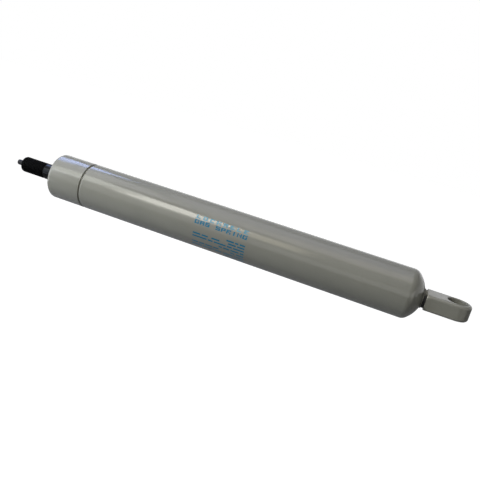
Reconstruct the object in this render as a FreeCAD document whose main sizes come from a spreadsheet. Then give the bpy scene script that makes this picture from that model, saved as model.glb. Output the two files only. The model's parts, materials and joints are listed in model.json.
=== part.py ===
import FreeCAD, Part
import math
import os
import re

import Sketcher

# A locking gas strut, closed, in millimetres.
# The origin is the centre of the eye's bore, +X runs along the strut from the eye to the
# release pin, and +Z is the axis of the eye's bore.

doc = FreeCAD.newDocument("LockingGasStrut")

# Driving sizes
SIZES = [
    # Pressure tube: swaged foot dome at the eye, rolled rim at the rod
    ("eye_to_foot", 18.4),
    ("tube_length", 231.8),
    ("tube_diameter", 28.0),
    ("tube_wall", 1.5),
    ("dome_radius", 18.0),
    ("shoulder_round", 5.0),
    ("foot_mouth_diameter", 11.2),
    ("rim_round", 2.2),
    ("rim_mouth_diameter", 19.0),
    ("groove_depth", 0.8),
    ("groove_soft_flank", 0.75),
    ("groove_floor", 0.4),
    ("groove_sharp_flank", 0.25),
    ("bead_half_width", 1.2),
    # Clearances
    ("press_gap", 0.03),
    ("seat_gap", 0.05),
    ("rod_gap", 0.06),
    ("pin_gap", 0.1),
    ("bore_gap", 0.08),
    ("side_gap", 0.3),
    ("thread_gap", 0.05),
    ("stop_gap", 0.1),
    ("face_gap", 0.02),
    # Foot plug
    ("plug_back_depth", 17.4),
    ("plug_boss_reach", 1.0),
    ("plug_boss_gap", 0.1),
    ("plug_ring_section", 2.0),
    ("plug_ring_inset", 3.6),
    ("plug_back_bevel", 0.6),
    # Eye fitting
    ("eye_width", 15.0),
    ("eye_thickness", 9.0),
    ("eye_bore_diameter", 11.0),
    ("eye_blade_reach", 16.1),
    ("eye_turned_end_radius", 7.5),
    ("eye_root_slope", 22.0),
    ("eye_edge_round", 1.5),
    ("eye_bore_bevel", 0.4),
    ("eye_neck_radius", 5.0),
    ("shank_radius", 4.0),
    ("shank_length", 11.4),
    ("shank_bevel", 0.8),
    ("drill_tip_angle", 59.0),
    ("drill_extra_depth", 1.2),
    # Rod and release pin
    ("rod_diameter", 10.0),
    ("rod_reach", 26.9),
    ("rod_bore_radius", 1.8),
    ("rod_thread_diameter", 9.9),
    ("rod_thread_length", 17.3),
    ("rod_relief_width", 1.0),
    ("rod_relief_depth", 0.6),
    ("rod_end_round", 1.2),
    ("rod_mouth_bevel", 0.4),
    ("spigot_radius", 4.0),
    ("spigot_length", 5.2),
    ("stroke", 100.0),
    ("pin_reach", 5.4),
    ("pin_tip_round", 0.8),
    ("pin_foot_depth", 2.0),
    # Rod seals and guide
    ("guide_length", 11.9),
    ("guide_bevel", 1.2),
    ("guide_ring_section", 1.8),
    ("guide_ring_inset", 4.2),
    ("guide_bore_gap", 0.25),
    ("liner_length", 6.0),
    ("liner_inset", 1.2),
    ("liner_wall", 1.1),
    ("wiper_radius", 8.0),
    ("wiper_depth", 3.0),
    ("wiper_stand_out", 0.7),
    ("wiper_lip_wall", 1.1),
    ("support_thickness", 1.3),
    ("support_bore_gap", 0.15),
    ("seal_length", 5.9),
    ("seal_heel", 2.4),
    ("seal_lip_wall", 1.5),
    ("seal_lip_flare", 0.35),
    ("washer_thickness", 1.5),
    ("washer_bevel", 0.3),
    # Piston and its valve
    ("stop_washer_gap", 0.6),
    ("stop_washer_thickness", 1.2),
    ("hub_radius", 8.5),
    ("hub_length", 9.5),
    ("head_gap", 0.3),
    ("head_length", 7.5),
    ("piston_edge_bevel", 0.5),
    ("valve_bore_radius", 3.6),
    ("valve_ring_section", 2.0),
    ("spacer_length", 4.0),
    ("spacer_wall", 0.9),
    ("port_radius", 0.8),
    ("port_count", 4),
    ("insert_length", 2.0),
    ("insert_hole_radius", 2.0),
    ("insert_seat_radius", 2.85),
    ("insert_seat_depth", 0.8),
    ("nut_radius", 6.0),
    ("nut_length", 4.0),
    ("nut_stand_out", 1.0),
    ("nut_socket_flats", 6.4),
    ("nut_bevel", 0.4),
    ("ring_width", 3.9),
    ("ring_wall", 1.4),
    ("ring_inset", 1.8),
    ("energiser_section", 1.4),
    ("stem_radius", 1.5),
    ("stem_waist_radius", 0.9),
    ("waist_margin_top", 0.5),
    ("waist_margin_bottom", 0.4),
    ("tappet_head_radius", 2.7),
    ("tappet_head_length", 2.2),
    ("tappet_seat_gap", 0.1),
    ("tappet_end_bevel", 0.4),
    # Separator piston between the oil and the gas
    ("oil_gap", 10.5),
    ("separator_length", 16.0),
    ("separator_gap", 0.25),
    ("separator_cup_wall", 1.9),
    ("separator_cup_depth", 11.0),
    ("separator_cup_round", 1.5),
    ("separator_ring_section", 2.6),
    ("separator_edge_bevel", 0.6),
    ("band_width", 2.5),
    ("band_wall", 1.45),
    ("band_inset", 2.0),
]

sheet = doc.addObject("Spreadsheet::Sheet", "Sizes")
for row, (name, value) in enumerate(SIZES, start=1):
    sheet.set(f"A{row}", name)
    sheet.set(f"B{row}", str(value))
    sheet.setAlias(f"B{row}", name)
doc.recompute()

# Places and radii that follow from the driving sizes, each a formula of names
FOLLOWING = {
    "tube_radius": "tube_diameter / 2",
    "bore_radius": "tube_radius - tube_wall",
    "mouth_radius": "foot_mouth_diameter / 2",
    "rod_radius": "rod_diameter / 2",
    "press_radius": "bore_radius - press_gap",
    "foot_x": "eye_to_foot",
    "rim_x": "foot_x + tube_length",
    "dome_x": "foot_x + sqrt(dome_radius ^ 2 - mouth_radius ^ 2)",
    "dome_inside": "dome_radius - tube_wall",
    "dome_edge_x": "dome_x - sqrt(dome_radius ^ 2 - tube_radius ^ 2)",
    "dome_inside_edge_x": "dome_x - sqrt(dome_inside ^ 2 - bore_radius ^ 2)",
    # Rod seals and guide, stacked from the rolled rim inwards
    "guide_back_x": "rim_x - tube_wall",
    "guide_front_x": "guide_back_x - guide_length",
    "support_front_x": "guide_front_x - support_thickness",
    "seal_front_x": "support_front_x - seal_length",
    "washer_front_x": "seal_front_x - washer_thickness",
    "bead_end_x": "washer_front_x - stop_gap",
    "groove_x": "bead_end_x - bead_half_width",
    "bead_start_x": "groove_x - bead_half_width",
    "bead_round": "(bead_half_width ^ 2 + groove_depth ^ 2) / (2 * groove_depth)",
    "guide_ring_x": "guide_front_x + guide_ring_inset",
    "liner_front_x": "guide_front_x + liner_inset",
    "liner_back_x": "liner_front_x + liner_length",
    "liner_outside": "rod_radius + rod_gap + liner_wall",
    "wiper_front_x": "guide_back_x - wiper_depth",
    # Foot plug
    "plug_x": "foot_x - plug_boss_reach",
    "plug_back_x": "foot_x + plug_back_depth",
    "plug_ring_x": "plug_back_x - plug_ring_inset",
    "plug_nose": "dome_inside - seat_gap",
    "boss_radius": "mouth_radius - plug_boss_gap",
    "nose_start_x": "dome_x - sqrt(plug_nose ^ 2 - boss_radius ^ 2)",
    "nose_end_x": "dome_x - sqrt(plug_nose ^ 2 - press_radius ^ 2)",
    "tapped_radius": "shank_radius + thread_gap",
    "tapped_end_x": "plug_x + shank_length + drill_extra_depth",
    "drill_tip_x": "tapped_end_x + tapped_radius / tan(drill_tip_angle)",
    # Rod, piston and valve, stacked from the rod's shoulder towards the eye
    "rod_end_x": "rim_x + rod_reach",
    "thread_start_x": "rod_end_x - rod_thread_length",
    "rod_thread_radius": "rod_thread_diameter / 2",
    "pin_tip_x": "rod_end_x + pin_reach",
    "shoulder_x": "bead_start_x - stop_gap - stroke",
    "spigot_end_x": "shoulder_x - spigot_length",
    "pin_foot_x": "shoulder_x - pin_foot_depth",
    "piston_front_x": "shoulder_x - stop_washer_thickness",
    "stop_washer_radius": "bore_radius - stop_washer_gap",
    "head_radius": "bore_radius - head_gap",
    "head_front_x": "piston_front_x - hub_length",
    "head_back_x": "head_front_x - head_length",
    "upper_seal_x": "spigot_end_x - valve_ring_section / 2",
    "spacer_front_x": "spigot_end_x - valve_ring_section",
    "spacer_back_x": "spacer_front_x - spacer_length",
    "port_x": "spacer_back_x + spacer_length / 2",
    "lower_seal_x": "spacer_back_x - valve_ring_section / 2",
    "insert_front_x": "spacer_back_x - valve_ring_section",
    "insert_back_x": "insert_front_x - insert_length",
    "nut_back_x": "head_back_x - nut_stand_out",
    "piston_ring_x": "head_back_x + ring_inset + ring_groove_width / 2",
    "ring_outside": "bore_radius - bore_gap",
    "ring_groove_width": "ring_width + 2 * seat_gap",
    "ring_groove_floor": "ring_outside - ring_wall - energiser_section - 2 * face_gap",
    # Separator
    "separator_front_x": "nut_back_x - oil_gap",
    "separator_back_x": "separator_front_x - separator_length",
    "separator_radius": "bore_radius - separator_gap",
    "separator_ring_floor": "bore_radius - separator_ring_section - 2 * face_gap",
    "separator_cup_radius": "separator_ring_floor - separator_cup_wall",
    "separator_ring_x": "(separator_front_x + separator_back_x) / 2",
    "front_band_x": "separator_front_x - band_inset - band_width / 2",
    "back_band_x": "separator_back_x + band_inset + band_width / 2",
    "band_outside": "bore_radius - bore_gap",
}


def formula(text):
    """Turn a formula of plain names into an expression that reads the sheet."""
    def spell_out(word):
        name = word.group()
        if name in FOLLOWING:
            return "(" + formula(FOLLOWING[name]) + ")"
        return "Sizes." + name if name in SIZE_NAMES else name
    return re.sub(r"[a-z_]+", spell_out, text)


SIZE_NAMES = {name for name, value in SIZES}


def size(text):
    """The number that a formula of names comes to."""
    return float(sheet.evalExpression(formula(text)))


def new_body(label):
    body = doc.addObject("PartDesign::Body", label)
    body.Label = label
    return body


def new_sketch(body, name, role):
    """An empty sketch on one of the body's own origin planes."""
    plane = next(item for item in body.Origin.OriginFeatures if item.Role == role)
    sketch = body.newObject("Sketcher::SketchObject", name)
    sketch.AttachmentSupport = [(plane, "")]
    sketch.MapMode = "FlatFace"
    return sketch


def bind(sketch, constraint, text):
    """Add a dimension whose value follows a formula."""
    index = sketch.addConstraint(constraint)
    sketch.setExpression(f"Constraints[{index}]", formula(text))


def arc_between(start, end, radius):
    """A circular edge; a positive radius bows to the left of the way from start to end."""
    middle = (start + end) / 2
    chord = end - start
    left = FreeCAD.Vector(-chord.y, chord.x, 0).normalize()
    rise = math.sqrt(radius ** 2 - (chord.Length / 2) ** 2)
    sign = math.copysign(1, radius)
    centre = middle - left * (sign * rise)
    crown = centre + left * (sign * abs(radius))
    return Part.Arc(start, crown, end)


def draw_outline(sketch, points):
    """Draw a closed outline of (x, y) formulas; a third entry bows the edge that follows."""
    corners = [FreeCAD.Vector(size(point[0]), size(point[1]), 0) for point in points]
    last_end = {}
    first_end = {}
    for index, point in enumerate(points):
        start = corners[index]
        end = corners[(index + 1) % len(points)]
        if len(point) == 3:
            radius = size(point[2])
            sketch.addGeometry(arc_between(start, end, radius), False)
            turned_over = radius > 0
            first_end[index] = 2 if turned_over else 1
            last_end[index] = 1 if turned_over else 2
        else:
            sketch.addGeometry(Part.LineSegment(start, end), False)
            first_end[index] = 1
            last_end[index] = 2
    for index in range(len(points)):
        after = (index + 1) % len(points)
        joint = Sketcher.Constraint("Coincident", index, last_end[index], after, first_end[after])
        sketch.addConstraint(joint)
    for index, point in enumerate(points):
        corner = corners[index]
        end = first_end[index]
        bind(sketch, Sketcher.Constraint("DistanceX", -1, 1, index, end, corner.x), point[0])
        bind(sketch, Sketcher.Constraint("DistanceY", -1, 1, index, end, corner.y), point[1])
        if len(point) == 3:
            radius = Sketcher.Constraint("Radius", index, abs(size(point[2])))
            bind(sketch, radius, f"abs({point[2]})")


def revolve(body, points, feature="Revolution", cut=False):
    """Turn an outline of (x, radius) formulas about the strut's axis."""
    sketch = new_sketch(body, f"{body.Name}{feature}Profile", "XY_Plane")
    draw_outline(sketch, points)
    kind = "PartDesign::Groove" if cut else "PartDesign::Revolution"
    turned = body.newObject(kind, f"{body.Name}{feature}")
    turned.Profile = sketch
    turned.ReferenceAxis = (sketch, ["H_Axis"])
    turned.Angle = 360
    doc.recompute()
    return turned


def turned_body(label, points):
    body = new_body(label)
    revolve(body, points)
    return body


def ring_edges(shape, places):
    """Names of the circular edges round the strut's axis at (x, radius) formulas."""
    wanted = [(size(x), size(radius)) for x, radius in places]
    names = []
    for index, edge in enumerate(shape.Edges, start=1):
        if not isinstance(edge.Curve, Part.Circle):
            continue
        centre = edge.Curve.Center
        for x, radius in wanted:
            if abs(centre.x - x) < 1e-4 and abs(edge.Curve.Radius - radius) < 1e-4:
                names.append(f"Edge{index}")
    if len(names) < len(wanted):
        raise ValueError(f"edges not found: {places}")
    return names


def dress_edges(body, kind, name, edges, text):
    """Round or bevel named edges of the body's last feature by a formula."""
    base = body.Tip
    feature = body.newObject(f"PartDesign::{kind}", f"{body.Name}{name}")
    feature.Base = (base, edges)
    feature.setExpression("Radius" if kind == "Fillet" else "Size", formula(text))
    doc.recompute()
    return feature


def round_rings(body, name, places, radius):
    return dress_edges(body, "Fillet", name, ring_edges(body.Tip.Shape, places), radius)


def bevel_rings(body, name, places, width):
    return dress_edges(body, "Chamfer", name, ring_edges(body.Tip.Shape, places), width)


def radial_holes(body, name, radius, x, reach):
    """A hole across the wall at x, repeated round the axis, from the middle out to reach."""
    sketch = new_sketch(body, f"{body.Name}{name}Circle", "XY_Plane")
    centre = FreeCAD.Vector(size(x), 0, 0)
    circle = Part.Circle(centre, FreeCAD.Vector(0, 0, 1), size(radius))
    sketch.addGeometry(circle, False)
    bind(sketch, Sketcher.Constraint("DistanceX", -1, 1, 0, 3, centre.x), x)
    sketch.addConstraint(Sketcher.Constraint("PointOnObject", 0, 3, -1))
    bind(sketch, Sketcher.Constraint("Radius", 0, size(radius)), radius)
    volume = body.Tip.Shape.Volume
    hole = body.newObject("PartDesign::Pocket", f"{body.Name}{name}")
    hole.Profile = sketch
    hole.Reversed = True
    hole.setExpression("Length", formula(reach))
    doc.recompute()
    if hole.Shape.Volume >= volume:
        raise ValueError(f"{name} cuts nothing")
    pattern = body.newObject("PartDesign::PolarPattern", f"{body.Name}{name}Pattern")
    pattern.Originals = [hole]
    axis = next(item for item in body.Origin.OriginFeatures if item.Role == "X_Axis")
    pattern.Axis = (axis, [""])
    pattern.Angle = 360
    pattern.setExpression("Occurrences", formula("port_count"))
    body.Tip = pattern
    doc.recompute()
    return pattern


def seal_ring(label, x, inside, section):
    """A round-section ring about the strut's axis; inside is its inner radius."""
    ring = doc.addObject("Part::Torus", label)
    ring.Label = label
    ring.Placement.Rotation = FreeCAD.Rotation(FreeCAD.Vector(0, 1, 0), 90)
    ring.setExpression("Radius1", formula(f"{inside} + {section} / 2"))
    ring.setExpression("Radius2", formula(f"{section} / 2"))
    ring.setExpression("Placement.Base.x", formula(x))
    doc.recompute()
    return ring


def group(label, members):
    """Loose twins of one kind, kept as one sub-part of separate solids."""
    compound = doc.addObject("Part::Compound", label)
    compound.Label = label
    compound.Links = members
    doc.recompute()
    return compound


def recess(x, width, outside, floor):
    """The four corners of a square groove in an outline that runs along +X."""
    start = f"{x} - ({width}) / 2"
    end = f"{x} + ({width}) / 2"
    return [(start, outside), (start, floor), (end, floor), (end, outside)]


def washer(label, front, thickness, inside, outside, bevel):
    """A flat turned washer with its four edges broken."""
    back = f"{front} + {thickness}"
    corners = [(front, inside), (back, inside), (back, outside), (front, outside)]
    body = turned_body(label, corners)
    bevel_rings(body, "Bevel", corners, bevel)
    return body


def pressure_tube():
    """Drawn tube with a domed foot, a rolled groove and a rim rolled over the guide."""
    inner_edge_x = "dome_x - sqrt(dome_inside ^ 2 - mouth_radius ^ 2)"
    body = turned_body("pressure_tube", [
        ("foot_x", "mouth_radius", "dome_radius"),
        ("dome_edge_x", "tube_radius"),
        ("groove_x - groove_floor / 2 - groove_soft_flank", "tube_radius"),
        ("groove_x - groove_floor / 2", "tube_radius - groove_depth"),
        ("groove_x + groove_floor / 2", "tube_radius - groove_depth"),
        ("groove_x + groove_floor / 2 + groove_sharp_flank", "tube_radius"),
        ("rim_x", "tube_radius"),
        ("rim_x", "rim_mouth_diameter / 2"),
        ("guide_back_x", "rim_mouth_diameter / 2"),
        ("guide_back_x", "bore_radius"),
        ("bead_end_x", "bore_radius", "bead_round"),
        ("bead_start_x", "bore_radius"),
        ("dome_inside_edge_x", "bore_radius", "-dome_inside"),
        (inner_edge_x, "mouth_radius"),
    ])
    round_rings(body, "Shoulder", [("dome_edge_x", "tube_radius")], "shoulder_round")
    inside = [("dome_inside_edge_x", "bore_radius")]
    round_rings(body, "ShoulderInside", inside, "shoulder_round - tube_wall")
    round_rings(body, "Rim", [("rim_x", "tube_radius")], "rim_round")
    round_rings(body, "RimInside", [("guide_back_x", "bore_radius")], "rim_round - tube_wall")
    return body


def foot_plug():
    """Closing plug with a domed nose, a seal groove and a tapped blind hole for the eye."""
    groove_width = "plug_ring_section + 2 * side_gap"
    groove_floor = "bore_radius - plug_ring_section - 2 * face_gap"
    body = turned_body("foot_plug", [
        ("plug_x", "tapped_radius"),
        ("plug_x", "boss_radius"),
        ("nose_start_x", "boss_radius", "plug_nose"),
        ("nose_end_x", "press_radius"),
        *recess("plug_ring_x", groove_width, "press_radius", groove_floor),
        ("plug_back_x", "press_radius"),
        ("plug_back_x", "0"),
        ("drill_tip_x", "0"),
        ("tapped_end_x", "tapped_radius"),
    ])
    shoulder = [("nose_end_x", "press_radius")]
    round_rings(body, "Shoulder", shoulder, "shoulder_round - tube_wall + seat_gap")
    bevel_rings(body, "Back", [("plug_back_x", "press_radius")], "plug_back_bevel")
    return body


def eye():
    """Flat eye with a bore, its root turned to a cone, on a neck and a threaded shank."""
    body = new_body("eye")
    half = "eye_width / 2"
    blade = new_sketch(body, "EyeBlade", "XY_Plane")
    draw_outline(blade, [
        ("0", f"-{half}", half),
        (f"-{half}", "0", half),
        ("0", half),
        ("eye_blade_reach", half),
        ("eye_blade_reach", f"-{half}"),
    ])
    pad = body.newObject("PartDesign::Pad", "EyeBladePad")
    pad.Profile = blade
    pad.Midplane = True
    pad.setExpression("Length", formula("eye_thickness"))
    doc.recompute()
    outline = [
        f"Edge{index}" for index, edge in enumerate(pad.Shape.Edges, start=1)
        if abs(abs(edge.CenterOfMass.z) - size("eye_thickness / 2")) < 1e-6
        and edge.CenterOfMass.x < size("eye_blade_reach") - 1e-6
    ]
    dress_edges(body, "Fillet", "Edges", outline, "eye_edge_round")
    corner = "sqrt(eye_width ^ 2 + eye_thickness ^ 2) / 2 + 1"
    uncut = body.Tip.Shape.Volume
    turning = revolve(body, [
        ("eye_blade_reach", "eye_turned_end_radius"),
        ("eye_blade_reach", corner),
        (f"eye_blade_reach - ({corner} - eye_turned_end_radius) / tan(eye_root_slope)", corner),
    ], "Root", cut=True)
    if turning.Shape.Volume >= uncut:
        raise ValueError("the eye's root isn't turned")
    uncut = body.Tip.Shape.Volume
    bore = new_sketch(body, "EyeBore", "XY_Plane")
    circle = Part.Circle(FreeCAD.Vector(0, 0, 0), FreeCAD.Vector(0, 0, 1), 1)
    bore.addGeometry(circle, False)
    bore.addConstraint(Sketcher.Constraint("Coincident", 0, 3, -1, 1))
    bind(bore, Sketcher.Constraint("Radius", 0, size("eye_bore_diameter / 2")), "eye_bore_diameter / 2")
    pocket = body.newObject("PartDesign::Pocket", "EyeBorePocket")
    pocket.Profile = bore
    pocket.Midplane = True
    pocket.Type = "ThroughAll"
    doc.recompute()
    if pocket.Shape.Volume >= uncut:
        raise ValueError("the eye has no bore")
    mouths = [
        f"Edge{index}" for index, edge in enumerate(pocket.Shape.Edges, start=1)
        if isinstance(edge.Curve, Part.Circle)
        and abs(edge.Curve.Radius - size("eye_bore_diameter / 2")) < 1e-6
    ]
    dress_edges(body, "Chamfer", "Mouths", mouths, "eye_bore_bevel")
    shank_end_x = "plug_x + shank_length"
    revolve(body, [
        ("eye_blade_reach", "0"),
        ("eye_blade_reach", "eye_neck_radius"),
        ("plug_x", "eye_neck_radius"),
        ("plug_x", "shank_radius"),
        (shank_end_x, "shank_radius"),
        (shank_end_x, "0"),
    ], "Shank")
    bevel_rings(body, "ShankEnd", [(shank_end_x, "shank_radius")], "shank_bevel")
    return body


def rod_lip_seal():
    """U-shaped lip seal, open to the oil, with its heel on the support ring."""
    heel_x = "support_front_x - seal_heel"
    inner_tip = "rod_radius + rod_gap"
    return turned_body("rod_lip_seal", [
        ("seal_front_x", inner_tip),
        ("support_front_x", f"{inner_tip} + seal_lip_flare"),
        ("support_front_x", "press_radius"),
        ("seal_front_x", "press_radius"),
        ("seal_front_x", "press_radius - seal_lip_wall"),
        (heel_x, "press_radius - seal_lip_wall - seal_lip_flare"),
        (heel_x, f"{inner_tip} + seal_lip_wall + 2 * seal_lip_flare"),
        ("seal_front_x", f"{inner_tip} + seal_lip_wall"),
    ])


def rod_guide():
    """Turned guide that carries the liner, its own seal ring and the wiper's seat."""
    bore = "rod_radius + guide_bore_gap"
    groove_width = "guide_ring_section + 2 * side_gap"
    groove_floor = "bore_radius - guide_ring_section - 2 * face_gap"
    liner_seat = "liner_outside + press_gap"
    body = turned_body("rod_guide", [
        ("guide_front_x", bore),
        ("guide_front_x", "press_radius"),
        *recess("guide_ring_x", groove_width, "press_radius", groove_floor),
        ("guide_back_x", "press_radius"),
        ("guide_back_x", "wiper_radius"),
        ("wiper_front_x", "wiper_radius"),
        ("wiper_front_x", bore),
        ("liner_back_x", bore),
        ("liner_back_x", liner_seat),
        ("liner_front_x", liner_seat),
        ("liner_front_x", bore),
    ])
    bevel_rings(body, "Back", [("guide_back_x", "press_radius")], "guide_bevel")
    bevel_rings(body, "Front", [("guide_front_x", "press_radius")], "washer_bevel")
    return body


def wiper_ring():
    """Rubber wiper in the guide's mouth, with a thin lip that stands out along the rod."""
    outside = "wiper_radius - press_gap"
    lip_inside = "rod_radius + rod_gap"
    return turned_body("wiper_ring", [
        ("wiper_front_x + face_gap", f"{lip_inside} + seal_lip_flare"),
        ("wiper_front_x + face_gap", outside),
        ("guide_back_x", outside),
        ("guide_back_x", f"{lip_inside} + 2 * wiper_lip_wall"),
        ("guide_back_x + wiper_stand_out", f"{lip_inside} + wiper_lip_wall / 2"),
        ("guide_back_x + wiper_stand_out", lip_inside),
    ])


def piston_rod():
    """Hollow rod for the release pin: spigot for the piston, relief and thread at the far end."""
    body = turned_body("piston_rod", [
        ("spigot_end_x", "rod_bore_radius"),
        ("spigot_end_x", "spigot_radius"),
        ("shoulder_x", "spigot_radius"),
        ("shoulder_x", "rod_radius"),
        ("thread_start_x", "rod_radius"),
        ("thread_start_x", "rod_thread_radius - rod_relief_depth"),
        ("thread_start_x + rod_relief_width", "rod_thread_radius - rod_relief_depth"),
        ("thread_start_x + rod_relief_width", "rod_thread_radius"),
        ("rod_end_x", "rod_thread_radius"),
        ("rod_end_x", "rod_bore_radius"),
    ])
    round_rings(body, "End", [("rod_end_x", "rod_thread_radius")], "rod_end_round")
    bevel_rings(body, "Mouth", [("rod_end_x", "rod_bore_radius")], "rod_mouth_bevel")
    return body


def piston_body():
    """Stepped piston: ported hub, grooved head, valve bore and a threaded pocket."""
    body = turned_body("piston_body", [
        ("piston_front_x", "spigot_radius + thread_gap"),
        ("piston_front_x", "hub_radius"),
        ("head_front_x", "hub_radius"),
        ("head_front_x", "head_radius"),
        *reversed(recess("piston_ring_x", "ring_groove_width", "head_radius", "ring_groove_floor")),
        ("head_back_x", "head_radius"),
        ("head_back_x", "nut_radius + thread_gap"),
        ("insert_back_x", "nut_radius + thread_gap"),
        ("insert_back_x", "valve_bore_radius"),
        ("spigot_end_x", "valve_bore_radius"),
        ("spigot_end_x", "spigot_radius + thread_gap"),
    ])
    edges = [("head_front_x", "head_radius"), ("head_back_x", "head_radius")]
    bevel_rings(body, "Edges", edges, "piston_edge_bevel")
    radial_holes(body, "Port", "port_radius", "port_x", "hub_radius + 1")
    return body


def valve_spacer():
    """Ported cage that keeps the two valve seals apart."""
    outside = "valve_bore_radius - press_gap"
    body = turned_body("valve_spacer", [
        ("spacer_back_x", f"{outside} - spacer_wall"),
        ("spacer_back_x", outside),
        ("spacer_front_x", outside),
        ("spacer_front_x", f"{outside} - spacer_wall"),
    ])
    radial_holes(body, "Port", "port_radius", "port_x", "valve_bore_radius + 1")
    return body


def valve_seat_insert():
    """Ring under the lower seal, with the conical seat for the tappet's head."""
    outside = "valve_bore_radius - press_gap"
    return turned_body("valve_seat_insert", [
        ("insert_back_x", "insert_seat_radius"),
        ("insert_back_x", outside),
        ("insert_front_x", outside),
        ("insert_front_x", "insert_hole_radius"),
        ("insert_back_x + insert_seat_depth", "insert_hole_radius"),
    ])


def piston_nut():
    """Round nut with a hexagon socket that holds the valve stack in the piston."""
    body = turned_body("piston_nut", [
        ("nut_back_x", "0"),
        ("nut_back_x", "nut_radius"),
        ("insert_back_x", "nut_radius"),
        ("insert_back_x", "0"),
    ])
    bevel_rings(body, "Edge", [("nut_back_x", "nut_radius")], "nut_bevel")
    sketch = new_sketch(body, "NutSocket", "YZ_Plane")
    half_flat = "nut_socket_flats / 2"
    half_side = "nut_socket_flats / 2 / sqrt(3)"
    corner = "nut_socket_flats / sqrt(3)"
    draw_outline(sketch, [
        (half_flat, f"-{half_side}"),
        (half_flat, half_side),
        ("0", corner),
        (f"-{half_flat}", half_side),
        (f"-{half_flat}", f"-{half_side}"),
        ("0", f"-{corner}"),
    ])
    sketch.setExpression("AttachmentOffset.Base.z", formula("nut_back_x - 1"))
    uncut = body.Tip.Shape.Volume
    socket = body.newObject("PartDesign::Pocket", "NutSocketPocket")
    socket.Profile = sketch
    socket.Reversed = True
    socket.setExpression("Length", formula("insert_back_x - nut_back_x + 2"))
    doc.recompute()
    if socket.Shape.Volume >= uncut:
        raise ValueError("the nut has no socket")
    return body


def valve_tappet():
    """Stem with a waist that opens the lower seal, and a conical head that closes the seat."""
    waist_top = "spacer_front_x - waist_margin_top"
    waist_bottom = "spacer_back_x + waist_margin_bottom"
    flank = "stem_radius - stem_waist_radius"
    seat_run = "(insert_seat_radius - insert_hole_radius) / insert_seat_depth"
    cone_length = f"(tappet_head_radius - stem_radius) / ({seat_run})"
    cone_top = f"insert_back_x + (insert_seat_radius - stem_radius) / ({seat_run}) - tappet_seat_gap"
    cone_bottom = f"{cone_top} - {cone_length}"
    head_end = f"{cone_bottom} - tappet_head_length"
    body = turned_body("valve_tappet", [
        (head_end, "0"),
        (head_end, "tappet_head_radius"),
        (cone_bottom, "tappet_head_radius"),
        (cone_top, "stem_radius"),
        (waist_bottom, "stem_radius"),
        (f"{waist_bottom} + {flank}", "stem_waist_radius"),
        (f"{waist_top} - ({flank})", "stem_waist_radius"),
        (waist_top, "stem_radius"),
        ("pin_foot_x", "stem_radius"),
        ("pin_foot_x", "0"),
    ])
    bevel_rings(body, "End", [(head_end, "tappet_head_radius")], "tappet_end_bevel")
    return body


def release_pin():
    """Long pin inside the rod, pushed at its rounded tip to open the valve."""
    radius = "rod_bore_radius - pin_gap"
    body = turned_body("release_pin", [
        ("pin_foot_x", "0"),
        ("pin_foot_x", radius),
        ("pin_tip_x", radius),
        ("pin_tip_x", "0"),
    ])
    round_rings(body, "Tip", [("pin_tip_x", radius)], "pin_tip_round")
    return body


def separator_piston():
    """Floating cup between the oil and the gas, grooved for its bands and seal ring."""
    ring_width = "separator_ring_section + 2 * side_gap"
    band_groove = "band_width + 2 * seat_gap"
    band_floor = "band_outside - band_wall - face_gap"
    cup_end_x = "separator_back_x + separator_cup_depth"
    body = turned_body("separator_piston", [
        ("separator_back_x", "separator_cup_radius"),
        ("separator_back_x", "separator_radius"),
        *recess("back_band_x", band_groove, "separator_radius", band_floor),
        *recess("separator_ring_x", ring_width, "separator_radius", "separator_ring_floor"),
        *recess("front_band_x", band_groove, "separator_radius", band_floor),
        ("separator_front_x", "separator_radius"),
        ("separator_front_x", "0"),
        (cup_end_x, "0"),
        (cup_end_x, "separator_cup_radius"),
    ])
    ends = [("separator_back_x", "separator_radius"), ("separator_front_x", "separator_radius")]
    bevel_rings(body, "Ends", ends, "separator_edge_bevel")
    round_rings(body, "Cup", [(cup_end_x, "separator_cup_radius")], "separator_cup_round")
    return body


def turned_ring(label, x, width, inside, outside):
    """A plain square-section ring centred on x."""
    start = f"{x} - ({width}) / 2"
    end = f"{x} + ({width}) / 2"
    return turned_body(label, [(start, inside), (end, inside), (end, outside), (start, outside)])


def groove_ring(label, x, section):
    """A seal ring in a groove, touching the tube's bore."""
    return seal_ring(label, x, f"bore_radius - face_gap - {section}", section)


def rod_washer(label, front, thickness):
    """A steel washer of the rod's seal pack, clear of the rod and pressed in the bore."""
    inside = "rod_radius + support_bore_gap"
    return washer(label, front, thickness, inside, "press_radius", "washer_bevel")


def stop_washer():
    """Washer between the rod's shoulder and the piston, as wide as the bead lets it be."""
    inside = "spigot_radius + thread_gap"
    outside = "stop_washer_radius"
    return washer("stop_washer", "piston_front_x", "stop_washer_thickness", inside, outside, "washer_bevel")


def guide_liner():
    """Split bearing liner, trapped in the rod guide's recess."""
    middle = "(liner_front_x + liner_back_x) / 2"
    width = "liner_length - 2 * face_gap"
    return turned_ring("guide_liner", middle, width, "rod_radius + rod_gap", "liner_outside")


def piston_ring():
    """Plastic ring that seals the piston's head to the bore."""
    inside = "ring_outside - ring_wall"
    return turned_ring("piston_ring", "piston_ring_x", "ring_width", inside, "ring_outside")


def valve_seals():
    """The two rings on the tappet's stem, one above and one below the spacer."""
    inside = "valve_bore_radius - face_gap - valve_ring_section"
    return group("valve_seals", [
        seal_ring("upper_valve_ring", "upper_seal_x", inside, "valve_ring_section"),
        seal_ring("lower_valve_ring", "lower_seal_x", inside, "valve_ring_section"),
    ])


def separator_guide_rings():
    """The two plastic bands that keep the separator straight in the bore."""
    inside = "band_outside - band_wall"
    return group("separator_guide_rings", [
        turned_ring("front_band", "front_band_x", "band_width", inside, "band_outside"),
        turned_ring("back_band", "back_band_x", "band_width", inside, "band_outside"),
    ])


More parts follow.
